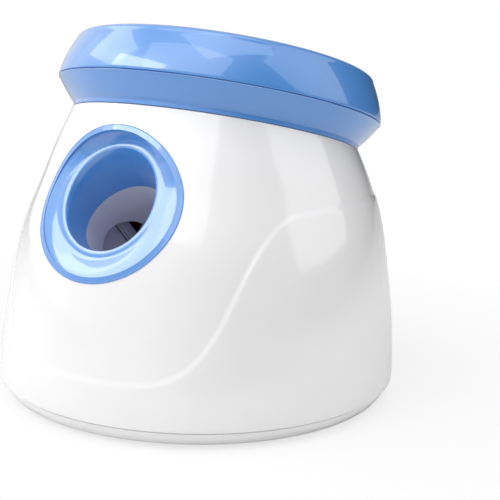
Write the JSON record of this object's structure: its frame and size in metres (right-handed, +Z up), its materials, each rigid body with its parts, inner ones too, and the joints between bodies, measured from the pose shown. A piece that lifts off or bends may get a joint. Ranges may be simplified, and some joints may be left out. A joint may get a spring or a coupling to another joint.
{
  "type": "automatic ball launcher",
  "caption": "Round dome-shaped ball launcher for small dogs: bowl on top, chute, spring striker with its gear train, and an angled muzzle.",
  "frame": {"origin": "centre of the footprint on the floor, under the feet", "axes": "+Z up, the muzzle looks towards -Y, and +X completes the right-handed frame"},
  "size_m": [0.2668, 0.2684, 0.2399],
  "materials": {
    "white_plastic": "glossy moulded white",
    "blue_plastic": "satin moulded light blue",
    "grey_plastic": "matt pale grey moulding",
    "gear_plastic": "natural white gear plastic",
    "dark_plastic": "dark grey moulding",
    "red_window": "dark red polished window",
    "clear_lens": "tinted lens",
    "foot_rubber": "soft black",
    "plain_steel": "plain bright steel",
    "yellow_brass": "plain brass",
    "board_green": "green lacquered board",
    "cell_wrap": "printed cell jacket, left plain"
  },
  "bodies": {
    "housing": {"ball_chute": "grey_plastic", "barrel_screw_1": "plain_steel", "barrel_screw_2": "plain_steel", "barrel_screw_3": "plain_steel", "barrel_screw_4": "plain_steel", "base_cover": "white_plastic", "base_screw_1": "plain_steel", "base_screw_2": "plain_steel", "base_screw_3": "plain_steel", "base_screw_4": "plain_steel", "battery_cell_1": "cell_wrap", "battery_cell_2": "cell_wrap", "battery_cell_3": "cell_wrap", "battery_cell_4": "cell_wrap", "body_shell": "white_plastic", "buzzer": "dark_plastic", "chassis_left": "grey_plastic", "chassis_right": "grey_plastic", "chassis_screw_1": "plain_steel", "chassis_screw_2": "plain_steel", "chassis_screw_3": "plain_steel", "chassis_screw_4": "plain_steel", "circuit_board": "board_green", "cocking_axle": "plain_steel", "contact_plate_left": "yellow_brass", "contact_plate_right": "yellow_brass", "control_panel": "dark_plastic", "cover_screw_1": "plain_steel", "cover_screw_2": "plain_steel", "cover_screw_3": "plain_steel", "dc_inlet": "dark_plastic", "first_axle": "plain_steel", "gearbox_cover": "grey_plastic", "hopper": "blue_plastic", "launch_barrel": "grey_plastic", "led_lens_1": "clear_lens", "led_lens_2": "clear_lens", "led_lens_3": "clear_lens", "motor_can": "plain_steel", "muzzle_bezel": "blue_plastic", "panel_board": "board_green", "rim_collar": "blue_plastic", "rubber_foot_1": "foot_rubber", "rubber_foot_2": "foot_rubber", "rubber_foot_3": "foot_rubber", "rubber_foot_4": "foot_rubber", "second_axle": "plain_steel", "sensor_window": "red_window", "spring_seat": "grey_plastic", "striker_spring": "plain_steel"},
    "striker": {"striker": "dark_plastic"},
    "cocking_gear": {"cocking_gear": "gear_plastic"},
    "second_gear": {"second_gear": "gear_plastic"},
    "first_gear": {"first_gear": "gear_plastic"},
    "motor_rotor": {"motor_shaft": "plain_steel", "motor_pinion": "yellow_brass"},
    "power_button": {"power_button": "blue_plastic"},
    "battery_door": {"battery_door": "white_plastic"}
  },
  "joints": [
    {"name": "cocking_gear_spin", "type": "hinge", "parent": "housing", "child": "cocking_gear", "pos_m": [0.0449, -0.00887, 0.08871], "axis": [1, 0, 0], "range_deg": [0, 81.87]},
    {"name": "striker_slide", "type": "slide", "parent": "housing", "child": "striker", "axis": [0, -0.7071, 0.7071], "range_m": [-0.03, 0], "stiffness_N_per_m": 300, "deforming": ["striker_spring"]},
    {"name": "second_gear_spin", "type": "hinge", "parent": "housing", "child": "second_gear", "pos_m": [0.0449, 0.02011, 0.08095], "axis": [1, 0, 0], "range_deg": [-245.65, 0]},
    {"name": "first_gear_spin", "type": "hinge", "parent": "housing", "child": "first_gear", "pos_m": [0.0449, 0.03977, 0.06718], "axis": [1, 0, 0], "range_deg": [0, 736.86]},
    {"name": "motor_spin", "type": "hinge", "parent": "housing", "child": "motor_rotor", "pos_m": [0.0449, 0.05532, 0.05162], "axis": [1, 0, 0], "range_deg": [-1964.73, 0]},
    {"name": "power_button_press", "type": "slide", "parent": "housing", "child": "power_button", "axis": [0, 0.9925, 0.1219], "range_m": [-0.0015, 0], "stiffness_N_per_m": 400},
    {"name": "battery_door_hinge", "type": "hinge", "parent": "housing", "child": "battery_door", "pos_m": [0, 0.0403, 0.0033], "axis": [-1, 0, 0], "range_deg": [0, 90]}
  ],
  "couplings": [
    {"joint": "cocking_gear_spin", "follows": "striker_slide", "rad_per_m": -47.619},
    {"joint": "second_gear_spin", "follows": "striker_slide", "rad_per_m": 142.86},
    {"joint": "first_gear_spin", "follows": "striker_slide", "rad_per_m": -428.57},
    {"joint": "motor_spin", "follows": "striker_slide", "rad_per_m": 1142.9}
  ]
}
